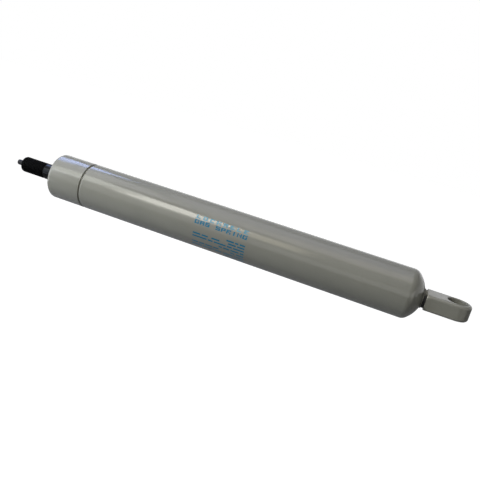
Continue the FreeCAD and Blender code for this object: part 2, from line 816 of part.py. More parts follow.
def build_parts():
    energiser_inside = "ring_groove_floor + face_gap"
    return [
        pressure_tube(),
        foot_plug(),
        groove_ring("foot_plug_o_ring", "plug_ring_x", "plug_ring_section"),
        eye(),
        rod_washer("seal_backup_washer", "washer_front_x", "washer_thickness"),
        rod_lip_seal(),
        rod_washer("seal_support_ring", "support_front_x", "support_thickness"),
        rod_guide(),
        guide_liner(),
        groove_ring("guide_o_ring", "guide_ring_x", "guide_ring_section"),
        wiper_ring(),
        piston_rod(),
        stop_washer(),
        piston_body(),
        valve_spacer(),
        valve_seat_insert(),
        valve_seals(),
        piston_nut(),
        piston_ring(),
        seal_ring("piston_ring_energiser", "piston_ring_x", energiser_inside, "energiser_section"),
        release_pin(),
        valve_tappet(),
        separator_piston(),
        groove_ring("separator_o_ring", "separator_ring_x", "separator_ring_section"),
        separator_guide_rings(),
    ]


def write_parts(parts):
    """Check every object of the document, then write each sub-part to its own file."""
    doc.recompute()
    for item in doc.Objects:
        if "Invalid" in item.State or "Error" in item.State:
            raise ValueError(f"{item.Label} failed: {item.State}")
    for part in parts:
        if part.Shape.isNull() or not part.Shape.isValid():
            raise ValueError(f"{part.Label} has no sound shape")
    os.makedirs("parts", exist_ok=True)
    for part in parts:
        part.Shape.exportStep(f"parts/{part.Label}.step")
        print(f"{part.Label}: {len(part.Shape.Solids)} solid, {part.Shape.Volume:.1f} mm3")


write_parts(build_parts())
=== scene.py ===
import json
import math
import re

import bmesh
import bpy
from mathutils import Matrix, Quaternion, Vector

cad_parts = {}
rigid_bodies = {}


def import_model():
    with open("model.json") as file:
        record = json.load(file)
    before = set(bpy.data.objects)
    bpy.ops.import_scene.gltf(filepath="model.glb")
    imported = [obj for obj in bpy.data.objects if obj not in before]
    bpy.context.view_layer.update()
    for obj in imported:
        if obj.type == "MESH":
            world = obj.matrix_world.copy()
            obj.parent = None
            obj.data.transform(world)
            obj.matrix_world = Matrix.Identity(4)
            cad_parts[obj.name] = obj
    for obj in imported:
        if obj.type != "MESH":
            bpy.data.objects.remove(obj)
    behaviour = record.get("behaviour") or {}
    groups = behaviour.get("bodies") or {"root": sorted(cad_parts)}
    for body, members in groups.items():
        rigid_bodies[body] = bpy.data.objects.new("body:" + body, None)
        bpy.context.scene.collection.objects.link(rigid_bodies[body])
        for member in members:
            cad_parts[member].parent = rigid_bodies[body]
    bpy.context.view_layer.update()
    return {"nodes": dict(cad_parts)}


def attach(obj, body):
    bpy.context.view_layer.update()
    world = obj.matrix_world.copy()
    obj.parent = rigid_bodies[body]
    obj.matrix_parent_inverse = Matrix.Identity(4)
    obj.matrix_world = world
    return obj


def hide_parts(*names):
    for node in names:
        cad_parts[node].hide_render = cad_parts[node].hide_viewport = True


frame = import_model()

# A locking gas strut. The model is in metres, the drawing sizes below are in millimetres:
# x runs along the strut from the eye's bore to the release pin, the second number is a radius.
MM = 0.001

# flats round the tube and the rod, round the eye, its bore and the thread, and round the pin
FLATS_ROUND = 128
FINE_FLATS = 96
PIN_FLATS = 64
# a speck is laid down to be merged into one corner; corners nearer than SAME_PLACE are one
SPECK_SIZE = 0.1 * MM
SAME_PLACE = 0.0005 * MM
# two corners count as level with each other below this
LEVEL = 0.0001 * MM

TUBE_RADIUS = 14.0
BORE_RADIUS = 12.5
ROD_RADIUS = 5.0
PIN_RADIUS = 1.7
EYE_RADIUS = 7.5
EYE_THICKNESS = 9.0
FOOT_X = 18.4
GROOVE_X = 226.8
RIM_X = 250.2


# Drawing and turning

def put_down():
    """Leave nothing selected, so that the next tool works on its own piece only."""
    bpy.ops.object.select_all(action="DESELECT")


def take_up(piece):
    """Leave only this piece selected, as the one that the next tool works on."""
    put_down()
    piece.select_set(True)
    bpy.context.view_layer.objects.active = piece


def name_piece(piece, name):
    """Give the piece and its mesh the same name."""
    piece.name = name
    piece.data.name = name


def settle(piece):
    """Put the piece's place into its mesh and leave the object at the origin."""
    take_up(piece)
    bpy.ops.object.transform_apply(location=True, rotation=True, scale=True)


def open_up(piece):
    """Go into edit mode on this piece, to work on its corners."""
    take_up(piece)
    bpy.ops.object.mode_set(mode="EDIT")
    bpy.ops.mesh.select_mode(type="VERT")


def open_new(name):
    """Name the shape that was just added and open it up, with all of it selected."""
    piece = bpy.context.object
    name_piece(piece, name)
    settle(piece)
    open_up(piece)
    bpy.ops.mesh.select_all(action="SELECT")
    return piece


def close_up():
    """Merge doubles, point every face outwards and go back to the whole piece."""
    bpy.ops.mesh.select_all(action="SELECT")
    bpy.ops.mesh.remove_doubles(threshold=SAME_PLACE)
    bpy.ops.mesh.select_all(action="SELECT")
    bpy.ops.mesh.normals_make_consistent(inside=False)
    bpy.ops.mesh.select_all(action="DESELECT")
    bpy.ops.object.mode_set(mode="OBJECT")


def smooth(piece, angle=32):
    """Smooth shading with crisp corners, in which the long plain faces keep their own normals."""
    take_up(piece)
    bpy.ops.object.shade_smooth_by_angle(angle=math.radians(angle))
    finish_with(piece, "WEIGHTED_NORMAL", keep_sharp=True)


def finish_with(piece, kind, **settings):
    """Add a modifier with these settings and apply it."""
    take_up(piece)
    modifier = piece.modifiers.new(kind.title(), kind)
    for setting, value in settings.items():
        setattr(modifier, setting, value)
    bpy.ops.object.modifier_apply(modifier=modifier.name)


def carve(piece, tool, operation="DIFFERENCE"):
    """Cut, keep or add with a second solid, which is used up."""
    finish_with(piece, "BOOLEAN", operation=operation, object=tool, solver="EXACT")
    bpy.data.objects.remove(tool)


def pick(piece, kind, wanted):
    """Select only the corners, edges or faces that answer to a test."""
    bpy.ops.mesh.select_mode(type=kind)
    bpy.ops.mesh.select_all(action="DESELECT")
    mesh = bmesh.from_edit_mesh(piece.data)
    parts = {"VERT": mesh.verts, "EDGE": mesh.edges, "FACE": mesh.faces}[kind]
    for part in parts:
        if wanted(part):
            part.select_set(True)
    bmesh.update_edit_mesh(piece.data)


def arc(centre_x, centre_r, radius, start, end, steps):
    """Points along an arc. Angles in degrees: 0 faces the eye, 90 outwards, 180 the pin."""
    points = []
    for step in range(steps + 1):
        turn = math.radians(start + (end - start) * step / steps)
        across = centre_x - radius * math.cos(turn)
        points.append((across, centre_r + radius * math.sin(turn)))
    return points


def ease_corners(outline, steps=4):
    """Swap each corner that has a third number for a small curve that begins so far from it."""
    eased = []
    for index, corner in enumerate(outline):
        if len(corner) == 2:
            eased.append(corner)
            continue
        here = Vector(corner[:2])
        before = Vector(outline[index - 1][:2])
        after = Vector(outline[(index + 1) % len(outline)][:2])
        start = here + (before - here).normalized() * corner[2]
        end = here + (after - here).normalized() * corner[2]
        for step in range(steps + 1):
            along = step / steps
            point = start * (1 - along) ** 2 + here * 2 * along * (1 - along) + end * along ** 2
            eased.append((point.x, point.y))
    return eased


def draw(name, points, closed):
    """Draw a line of (x, radius) points, corner by corner, and leave the piece in edit mode."""
    put_down()
    first_x, first_r = points[0]
    bpy.ops.mesh.primitive_plane_add(size=SPECK_SIZE, location=(first_x * MM, first_r * MM, 0))
    piece = open_new(name)
    bpy.ops.mesh.merge(type="CENTER")
    way = points + [points[0]] if closed else points
    for here, there in zip(way, way[1:]):
        step = ((there[0] - here[0]) * MM, (there[1] - here[1]) * MM, 0)
        bpy.ops.mesh.extrude_vertices_move(TRANSFORM_OT_translate={"value": step})
    bpy.ops.mesh.select_all(action="SELECT")
    bpy.ops.mesh.remove_doubles(threshold=SAME_PLACE)
    return piece


def turn(name, outline, closed=True, flats=FLATS_ROUND):
    """Turn a piece on the strut's axis from its outline."""
    piece = draw(name, ease_corners(outline), closed)
    bpy.ops.mesh.select_all(action="SELECT")
    bpy.ops.mesh.spin(steps=flats, angle=2 * math.pi, center=(0, 0, 0), axis=(1, 0, 0))
    close_up()
    return piece


# The barrel

DOME_RADIUS = 18.0
TUBE_WALL = 1.5
MOUTH_RADIUS = 5.6
DOME_X = FOOT_X + math.sqrt(DOME_RADIUS ** 2 - MOUTH_RADIUS ** 2)
SHOULDER_ROUND = 5.0
SHOULDER_R = TUBE_RADIUS - SHOULDER_ROUND
SHOULDER_X = DOME_X - math.sqrt((DOME_RADIUS - SHOULDER_ROUND) ** 2 - SHOULDER_R ** 2)
CROWN_RADIUS = 17.0
CROWN_X = SHOULDER_X + math.sqrt((CROWN_RADIUS - SHOULDER_ROUND) ** 2 - SHOULDER_R ** 2)
RIM_ROUND = 2.2
RIM_MOUTH_RADIUS = 9.5
GROOVE_DEPTH = 0.8
BEAD_ROUND = 1.3
ROLLER_MARK_DEPTH = 0.03
ROLLER_MARK_HALF = 0.3


def roller_mark(middle):
    """Outline of a faint line that a forming roller left round the tube."""
    return [
        (middle - ROLLER_MARK_HALF, TUBE_RADIUS),
        (middle, TUBE_RADIUS - ROLLER_MARK_DEPTH),
        (middle + ROLLER_MARK_HALF, TUBE_RADIUS),
    ]


def make_pressure_tube():
    """Drawn tube: domed foot, rolled groove, and a rim rolled in over the guide."""
    shoulder = math.degrees(math.asin(SHOULDER_R / (DOME_RADIUS - SHOULDER_ROUND)))
    mouth = math.degrees(math.asin(MOUTH_RADIUS / CROWN_RADIUS))
    crown_edge = math.degrees(math.asin(SHOULDER_R / (CROWN_RADIUS - SHOULDER_ROUND)))
    inside_dome = DOME_RADIUS - TUBE_WALL
    inside_mouth = math.degrees(math.asin(MOUTH_RADIUS / inside_dome))
    inside_round = SHOULDER_ROUND - TUBE_WALL
    groove_floor = TUBE_RADIUS - GROOVE_DEPTH
    rim_arc_x = RIM_X - RIM_ROUND
    rim_arc_r = TUBE_RADIUS - RIM_ROUND
    # outside, the thickened crown round the mouth bulges a little more than the dome's inside
    outline = arc(CROWN_X, 0, CROWN_RADIUS, mouth, crown_edge, 10)
    outline += arc(SHOULDER_X, SHOULDER_R, SHOULDER_ROUND, crown_edge, 90, 12)[1:]
    outline += roller_mark(GROOVE_X - 2.6)
    # the groove slopes gently on the eye's side and steeply on the rod's
    outline += [
        (GROOVE_X - 0.95, TUBE_RADIUS, 0.35),
        (GROOVE_X - 0.2, groove_floor, 0.15),
        (GROOVE_X + 0.2, groove_floor, 0.12),
        (GROOVE_X + 0.45, TUBE_RADIUS, 0.16),
    ]
    outline += roller_mark(GROOVE_X + 3.5)
    outline += arc(rim_arc_x, rim_arc_r, RIM_ROUND, 90, 180, 12)
    outline += [
        (RIM_X, RIM_MOUTH_RADIUS, 0.4),
        (RIM_X - TUBE_WALL, RIM_MOUTH_RADIUS),
    ]
    outline += arc(rim_arc_x, rim_arc_r, RIM_ROUND - TUBE_WALL, 180, 90, 4)
    # the groove's bead inside, which holds the seal pack
    bead_r = BORE_RADIUS - GROOVE_DEPTH + BEAD_ROUND
    bead_turn = math.degrees(math.asin((bead_r - BORE_RADIUS) / BEAD_ROUND))
    outline += arc(GROOVE_X, bead_r, BEAD_ROUND, 180 + bead_turn, 360 - bead_turn, 8)
    outline += arc(SHOULDER_X, SHOULDER_R, inside_round, 90, shoulder, 8)
    outline += arc(DOME_X, 0, inside_dome, shoulder, inside_mouth, 8)[1:]
    tube = turn("strut_tube", outline)
    smooth(tube)
    return tube


# The eye

BLADE_REACH = 16.1
ROOT_RADIUS = 7.5
ROOT_SLOPE = math.tan(math.radians(22))
BLANK_RADIUS = 12.0
BLANK_START_X = -9.0
EDGE_ROUND = 1.5
NECK_RADIUS = 5.0
NECK_END_X = 17.4
SHANK_RADIUS = 4.0
SHANK_END_X = 28.8
SHANK_BEVEL = 0.8
# the bore's flare as (height, radius), from outside the face down to the straight bore
BORE_FLARE = [(5.0, 6.5), (4.5, 5.95), (4.3, 5.7), (4.12, 5.55), (3.9, 5.5)]


def open_disc(name, radius, height):
    """A flat disc in edit mode, to be drawn up along z."""
    put_down()
    bpy.ops.mesh.primitive_circle_add(
        vertices=FINE_FLATS, radius=radius * MM, fill_type="NGON", location=(0, 0, height * MM))
    return open_new(name)


def make_eye():
    """Flat eye: round end, eased edges, flared bore, root corners turned off, neck and shank."""
    eye = open_disc("eye_fitting", EYE_RADIUS, -EYE_THICKNESS / 2)
    # keep the half disc on the eye's side and draw it out to the root
    bpy.ops.mesh.bisect(plane_co=(0, 0, 0), plane_no=(1, 0, 0), clear_outer=True)
    pick(eye, "EDGE", lambda edge: all(abs(vert.co.x) < LEVEL for vert in edge.verts))
    bpy.ops.mesh.extrude_edges_move(TRANSFORM_OT_translate={"value": (BLADE_REACH * MM, 0, 0)})
    bpy.ops.mesh.select_all(action="SELECT")
    bpy.ops.mesh.dissolve_limited(angle_limit=math.radians(0.5))
    bpy.ops.mesh.select_all(action="SELECT")
    bpy.ops.mesh.extrude_region_move(
        TRANSFORM_OT_translate={"value": (0, 0, EYE_THICKNESS * MM)})
    bpy.ops.mesh.select_all(action="SELECT")
    bpy.ops.mesh.normals_make_consistent(inside=False)
    # ease the two long outlines, but not the root, which is turned away
    pick(eye, "EDGE", lambda edge: (
        abs(edge.verts[0].co.z - edge.verts[1].co.z) < LEVEL
        and min(vert.co.x for vert in edge.verts) < (BLADE_REACH - 0.01) * MM))
    bpy.ops.mesh.bevel(offset=EDGE_ROUND * MM, segments=8, profile=0.5, affect="EDGES")
    close_up()
    root = turn("root_turning", [
        (BLANK_START_X, 0), (BLANK_START_X, BLANK_RADIUS),
        (BLADE_REACH - (BLANK_RADIUS - ROOT_RADIUS) / ROOT_SLOPE, BLANK_RADIUS),
        (BLADE_REACH, ROOT_RADIUS), (BLADE_REACH, 0),
    ], closed=False)
    carve(eye, root, "INTERSECT")
    ladder = [(-z, r) for z, r in BORE_FLARE] + list(reversed(BORE_FLARE))
    foot, foot_r = ladder[0]
    tool = open_disc("bore_tool", foot_r, foot)
    for (low, low_r), (high, high_r) in zip(ladder, ladder[1:]):
        bpy.ops.mesh.extrude_region_move(
            TRANSFORM_OT_translate={"value": (0, 0, (high - low) * MM)})
        growth = high_r / low_r
        bpy.ops.transform.resize(value=(growth, growth, 1), center_override=(0, 0, high * MM))
    close_up()
    carve(eye, tool)
    # the neck is thicker than the blade, so only its core reaches well into it
    root_x = BLADE_REACH - 0.02
    core_x = BLADE_REACH - 0.6
    neck = turn("neck", [
        (core_x, 0), (core_x, SHANK_RADIUS), (root_x, SHANK_RADIUS),
        (root_x, NECK_RADIUS), (NECK_END_X, NECK_RADIUS), (NECK_END_X, SHANK_RADIUS),
        (SHANK_END_X - SHANK_BEVEL, SHANK_RADIUS), (SHANK_END_X, SHANK_RADIUS - SHANK_BEVEL),
        (SHANK_END_X, 0),
    ], closed=False)
    carve(eye, neck, "UNION")
    smooth(eye, 30)
    return eye


# The wiper

WIPER_RADIUS = 7.97
WIPER_BACK_X = 245.72
WIPER_FACE_X = 248.7
WIPER_LIP_X = 249.4


def make_wiper():
    """Rubber wiper in the guide's mouth, its lip standing out along the rod."""
    wiper = turn("rod_wiper", [
        (WIPER_BACK_X, 5.41), (WIPER_BACK_X, WIPER_RADIUS),
        (WIPER_FACE_X, WIPER_RADIUS, 0.2), (WIPER_FACE_X, 7.26, 0.35),
        (WIPER_LIP_X, 5.61, 0.2), (WIPER_LIP_X, 5.06),
    ])
    smooth(wiper, 40)
    return wiper


# The rod and the release pin

SPIGOT_START_X = 120.3
SPIGOT_END_X = 125.5
SPIGOT_RADIUS = 4.0
ROD_BORE_RADIUS = 1.8
ROD_END_X = 277.1
ROD_END_ROUND = 1.2
ROD_MOUTH_BEVEL = 0.4
THREAD_START_X = 259.8
THREAD_CREST = 4.95
RELIEF_WIDTH = 1.0
RELIEF_RADIUS = 4.35
PITCH = 1.0
# half widths and radii of the thread's groove, at its root and just outside the crest
GROOVE_ROOT = (0.12, 4.37)
GROOVE_MOUTH = (0.48, 4.99)
PIN_START_X = 123.5
PIN_TIP_X = 282.5
PIN_TIP_ROUND = 0.8


def make_thread_tool():
    """A coil with the thread's groove as its section, which cuts the thread into the rod."""
    centre_x = THREAD_START_X + RELIEF_WIDTH / 2
    root_half, root_r = GROOVE_ROOT
    mouth_half, mouth_r = GROOVE_MOUTH
    groove = [
        (centre_x - root_half, root_r), (centre_x + root_half, root_r),
        (centre_x + mouth_half, mouth_r), (centre_x - mouth_half, mouth_r),
    ]
    tool = draw("thread_tool", groove, closed=True)
    bpy.ops.object.mode_set(mode="OBJECT")
    turns = math.ceil((ROD_END_X - centre_x) / PITCH) + 1
    finish_with(
        tool, "SCREW", axis="X", angle=2 * math.pi, screw_offset=PITCH * MM,
        iterations=turns, steps=FINE_FLATS, render_steps=FINE_FLATS)
    open_up(tool)
    bpy.ops.mesh.select_all(action="SELECT")
    bpy.ops.mesh.fill_holes(sides=len(groove))
    close_up()
    return tool


def make_rod():
    """Hollow rod: spigot for the piston, polished run, relief, and a threaded end."""
    relief_end_x = THREAD_START_X + RELIEF_WIDTH
    outline = [
        (SPIGOT_START_X, ROD_BORE_RADIUS), (SPIGOT_START_X, SPIGOT_RADIUS),
        (SPIGOT_END_X, SPIGOT_RADIUS), (SPIGOT_END_X, ROD_RADIUS, 0.3),
        (THREAD_START_X, ROD_RADIUS, 0.12), (THREAD_START_X, RELIEF_RADIUS, 0.2),
        (relief_end_x, RELIEF_RADIUS, 0.2), (relief_end_x, THREAD_CREST, 0.2),
    ]
    outline += arc(
        ROD_END_X - ROD_END_ROUND, THREAD_CREST - ROD_END_ROUND, ROD_END_ROUND, 90, 180, 10)
    outline += [
        (ROD_END_X, ROD_BORE_RADIUS + ROD_MOUTH_BEVEL, 0.1),
        (ROD_END_X - ROD_MOUTH_BEVEL, ROD_BORE_RADIUS, 0.1),
    ]
    rod = turn("strut_rod", outline)
    carve(rod, make_thread_tool())
    smooth(rod, 30)
    return rod


def make_release_pin():
    """Long pin down the rod's middle, its tip rounded where the release lever presses it."""
    outline = [(PIN_START_X, 0), (PIN_START_X, PIN_RADIUS, 0.2)]
    outline += arc(
        PIN_TIP_X - PIN_TIP_ROUND, PIN_RADIUS - PIN_TIP_ROUND, PIN_TIP_ROUND, 90, 174, 8)
    outline += [(PIN_TIP_X, 0)]
    pin = turn("strut_release_pin", outline, closed=False, flats=PIN_FLATS)
    smooth(pin)
    return pin


# The print on the tube

PRINT_X = 116.5
PRINT_RADIUS = TUBE_RADIUS + 0.02
INK_THICKNESS = 0.015
# degrees: the step of an arc of ink, and the hair's breadth between the bars of a letter
ARC_STEP = 3
HAIR_GAP = 0.04


def start_print(name):
    """An empty piece in edit mode, for marks that lie on the tube."""
    put_down()
    bpy.ops.mesh.primitive_plane_add(size=SPECK_SIZE, location=(0, 0, 0))
    piece = open_new(name)
    bpy.ops.mesh.delete(type="VERT")
    return piece


def print_bar(start, length, low, high):
    """One bar of ink: a line along the tube, spun down round it between two angles in degrees."""
    top = math.radians(high)
    place = (
        (PRINT_X + start) * MM,
        PRINT_RADIUS * MM * math.cos(top),
        PRINT_RADIUS * MM * math.sin(top),
    )
    bpy.ops.mesh.select_all(action="DESELECT")
    bpy.ops.mesh.primitive_plane_add(size=SPECK_SIZE, location=place)
    bpy.ops.mesh.merge(type="CENTER")
    bpy.ops.mesh.extrude_vertices_move(
        TRANSFORM_OT_translate={"value": (length * MM, 0, 0)})
    bpy.ops.mesh.select_linked()
    steps = max(1, math.ceil((high - low) / ARC_STEP))
    bpy.ops.mesh.spin(
        steps=steps, angle=math.radians(high - low), center=(0, 0, 0), axis=(1, 0, 0))


LETTERS = {
    "A": ("###", "# #", "###", "# #", "# #"),
    "B": ("## ", "# #", "## ", "# #", "###"),
    "C": ("###", "#  ", "#  ", "#  ", "###"),
    "E": ("###", "#  ", "## ", "#  ", "###"),
    "G": ("###", "#  ", "# #", "# #", "###"),
    "I": (" # ", " # ", " # ", " # ", " # "),
    "K": ("# #", "# #", "## ", "# #", "# #"),
    "L": ("#  ", "#  ", "#  ", "#  ", "###"),
    "N": ("#  #", "## #", "# ##", "#  #", "#  #"),
    "O": ("###", "# #", "# #", "# #", "###"),
    "P": ("###", "# #", "###", "#  ", "#  "),
    "R": ("###", "# #", "## ", "# #", "# #"),
    "S": ("###", "#  ", "###", "  #", "###"),
    " ": (),
}
# where the rows of a letter begin and end, as shares of its height: bold, with narrow gaps
ROW_EDGES = (0.0, 0.26, 0.37, 0.63, 0.74, 1.0)


def print_letter(letter, start, width, low, high):
    """Block letter: each run of ink that repeats from row to row becomes one bar."""
    rows = LETTERS[letter]
    under_way = {}
    for row, line in enumerate((*rows, "")):
        runs = {run.span() for run in re.finditer("#+", line)}
        for run in sorted(set(under_way) - runs):
            cell = width / len(rows[0])
            top = high - ROW_EDGES[under_way.pop(run)] * (high - low)
            foot = high - ROW_EDGES[row] * (high - low)
            print_bar(
                start + width - run[1] * cell, (run[1] - run[0]) * cell, foot + HAIR_GAP, top)
        for run in runs:
            under_way.setdefault(run, row)


def print_word(word, start, pitch, width, low, high):
    """A word that reads from the rod towards the eye."""
    for place, letter in enumerate(reversed(word)):
        print_letter(letter, start + place * pitch, width, low, high)


def close_print(piece):
    """Give the flat marks the thickness of a coat of ink."""
    close_up()
    finish_with(piece, "SOLIDIFY", thickness=INK_THICKNESS * MM, offset=-1)
    smooth(piece, 40)
    return piece


def make_pale_print():
    """Pale blue row: what kind of strut it is."""
    piece = start_print("print_pale")
    print_word("LOCKABLE", start=0.4, pitch=4.2, width=2.7, low=23.0, high=32.5)
    return close_print(piece)


# fine print as rows of dashes: the row's angle, then start and length of each dash in turn
DASH_HALF_HEIGHT = 1.9
FINE_ROWS = (
    (-4.5, (0.0, 3.2, 4.0, 2.0, 6.8, 4.6)),
    (-11.5, (0.0, 4.4, 5.2, 4.8, 15.4, 5.0, 22.6, 4.0, 27.4, 4.8)),
    (-19.0, (0.0, 6.6, 7.4, 3.0, 11.2, 7.4, 19.4, 3.0, 23.2, 9.0)),
    (-27.0, (0.0, 2.2, 3.0, 5.0, 8.8, 3.8, 13.4, 2.0)),
    (-35.5, (0.0, 4.6, 5.4, 2.6, 15.4, 3.4, 19.6, 4.2, 24.6, 3.0, 28.4, 3.8)),
    (-44.5, (0.0, 5.8, 6.6, 6.2, 13.6, 4.0, 18.4, 7.0, 26.2, 6.0)),
    (-54.5, (0.0, 3.6, 4.4, 4.4, 9.6, 2.8)),
)


def make_dark_print():
    """Dark blue row in heavier letters, and the rows of fine dashes under it."""
    piece = start_print("print_dark")
    print_word("GAS SPRING", start=0.2, pitch=3.3, width=2.8, low=10.8, high=20.6)
    for middle, dashes in FINE_ROWS:
        for start, length in zip(dashes[::2], dashes[1::2]):
            print_bar(start, length, middle - DASH_HALF_HEIGHT, middle + DASH_HALF_HEIGHT)
    return close_print(piece)


# Surface effects that several finishes share

def new_effect(name, inputs, outputs):
    """A node group with named sockets: inputs are (name, kind, value), outputs (name, kind)."""
    effect = bpy.data.node_groups.new(name, "ShaderNodeTree")
    for label, kind, value in inputs:
        socket = effect.interface.new_socket(name=label, in_out="INPUT", socket_type=kind)
        if value is not None:
            socket.default_value = value
    for label, kind in outputs:
        effect.interface.new_socket(name=label, in_out="OUTPUT", socket_type=kind)
    return effect, effect.nodes.new("NodeGroupInput"), effect.nodes.new("NodeGroupOutput")


def noise(tree, place, scale, detail=3.0, roughness=0.5, kind="3D"):
    """Cloudy noise with its scale per metre, a number or another node's output."""
    node = tree.nodes.new("ShaderNodeTexNoise")
    node.noise_dimensions = kind
    node.inputs["Detail"].default_value = detail
    node.inputs["Roughness"].default_value = roughness
    if isinstance(scale, (int, float)):
        node.inputs["Scale"].default_value = scale
    else:
        tree.links.new(scale, node.inputs["Scale"])
    tree.links.new(place, node.inputs["W" if kind == "1D" else "Vector"])
    return node.outputs["Fac"]


def spread(tree, value, low, high, to_low=0.0, to_high=1.0):
    """Stretch a value from one range to another, held at the ends."""
    node = tree.nodes.new("ShaderNodeMapRange")
    tree.links.new(value, node.inputs["Value"])
    for label, number in (
            ("From Min", low), ("From Max", high), ("To Min", to_low), ("To Max", to_high)):
        node.inputs[label].default_value = number
    return node.outputs["Result"]


def combine(tree, how, first, second):
    """Arithmetic on two values, each a number or another node's output."""
    node = tree.nodes.new("ShaderNodeMath")
    node.operation = how
    for socket, value in zip(node.inputs, (first, second)):
        if isinstance(value, (int, float)):
            socket.default_value = value
        else:
            tree.links.new(value, socket)
    return node.outputs["Value"]


def sprayed_paint_effect():
    """Orange peel and the slow drift of tone that a sprayed and baked coat has."""
    effect, given, result = new_effect(
        "sprayed_paint",
        [("Place", "NodeSocketVector", None), ("Peel per metre", "NodeSocketFloat", 700.0)],
        [("Peel", "NodeSocketFloat"), ("Tone", "NodeSocketFloat"), ("Haze", "NodeSocketFloat")])
    place = given.outputs["Place"]
    peel = noise(effect, place, given.outputs["Peel per metre"], detail=1.5, roughness=0.4)
    tone = noise(effect, place, 45.0, detail=4.0, roughness=0.55)
    grit = noise(effect, place, 2600.0, detail=2.0)
    haze = noise(effect, place, 160.0, detail=3.0)
    mixed = combine(effect, "ADD", combine(effect, "MULTIPLY", tone, 0.8),
                    combine(effect, "MULTIPLY", grit, 0.2))
    effect.links.new(peel, result.inputs["Peel"])
    effect.links.new(spread(effect, mixed, 0.3, 0.7), result.inputs["Tone"])
    effect.links.new(spread(effect, haze, 0.3, 0.7), result.inputs["Haze"])
    return effect


def turning_marks_effect():
    """Rings that a lathe tool leaves round the strut's axis, coarse feed over fine chatter."""
    effect, given, result = new_effect(
        "turning_marks",
        [("Place", "NodeSocketVector", None), ("Rings per metre", "NodeSocketFloat", 5000.0)],
        [("Rings", "NodeSocketFloat"), ("Stain", "NodeSocketFloat")])
    split = effect.nodes.new("ShaderNodeSeparateXYZ")
    effect.links.new(given.outputs["Place"], split.inputs["Vector"])
    feed = noise(
        effect, split.outputs["X"], given.outputs["Rings per metre"],
        detail=2.0, roughness=0.6, kind="1D")
    stain = noise(effect, given.outputs["Place"], 220.0, detail=4.0)
    effect.links.new(feed, result.inputs["Rings"])
    effect.links.new(spread(effect, stain, 0.35, 0.65), result.inputs["Stain"])
    return effect


def fine_dust_effect():
    """Fine pale specks that settle on dark rubber and blackened steel."""
    effect, given, result = new_effect(
        "fine_dust",
        [("Place", "NodeSocketVector", None)],
        [("Specks", "NodeSocketFloat"), ("Cloud", "NodeSocketFloat")])
    specks = noise(effect, given.outputs["Place"], 4200.0, detail=2.0)
    cloud = noise(effect, given.outputs["Place"], 130.0, detail=4.0)
    effect.links.new(spread(effect, specks, 0.6, 0.75), result.inputs["Specks"])
    effect.links.new(spread(effect, cloud, 0.35, 0.7), result.inputs["Cloud"])
    return effect


EFFECTS = {
    "sprayed_paint": sprayed_paint_effect(),
    "turning_marks": turning_marks_effect(),
    "fine_dust": fine_dust_effect(),
}


# Finishes

def new_finish(name, **constants):
    """A material with its shader, its place on the piece, and constants on the shader itself."""
    finish = bpy.data.materials.new(name)
    finish.use_nodes = True
    tree = finish.node_tree
    shader = tree.nodes["Principled BSDF"]
    for label, value in constants.items():
        shader.inputs[label.replace("_", " ")].default_value = value
    place = tree.nodes.new("ShaderNodeTexCoord").outputs["Object"]
    return finish, tree, shader, place


def use_effect(tree, name, place, **settings):
    """Put one of the shared effects into a finish."""
    node = tree.nodes.new("ShaderNodeGroup")
    node.node_tree = EFFECTS[name]
    tree.links.new(place, node.inputs["Place"])
    for label, value in settings.items():
        node.inputs[label.replace("_", " ")].default_value = value
    return node.outputs


def blend_colours(tree, mask, first, second):
    """The first colour where the mask is 0, the second where it is 1."""
    node = tree.nodes.new("ShaderNodeMix")
    node.data_type = "RGBA"
    tree.links.new(mask, node.inputs["Factor"])
    for label, colour in (("A", first), ("B", second)):
        socket = next(s for s in node.inputs if s.name == label and s.type == "RGBA")
        if isinstance(colour, tuple):
            socket.default_value = (*colour, 1.0)
        else:
            tree.links.new(colour, socket)
    return next(s for s in node.outputs if s.type == "RGBA")


def raise_bumps(tree, shader, height, distance):
    """Fine relief in the shading, its height in metres."""
    bump = tree.nodes.new("ShaderNodeBump")
    bump.inputs["Strength"].default_value = 1.0
    bump.inputs["Distance"].default_value = distance
    tree.links.new(height, bump.inputs["Height"])
    tree.links.new(bump.outputs["Normal"], shader.inputs["Normal"])


def paint_finish(name, light, dark, roughness, peel_height):
    """Semi-gloss sprayed paint."""
    finish, tree, shader, place = new_finish(name, Specular_IOR_Level=0.5)
    paint = use_effect(tree, "sprayed_paint", place)
    tree.links.new(blend_colours(tree, paint["Tone"], light, dark), shader.inputs["Base Color"])
    low, high = roughness
    tree.links.new(
        spread(tree, paint["Haze"], 0.0, 1.0, low, high), shader.inputs["Roughness"])
    raise_bumps(tree, shader, paint["Peel"], peel_height)
    return finish


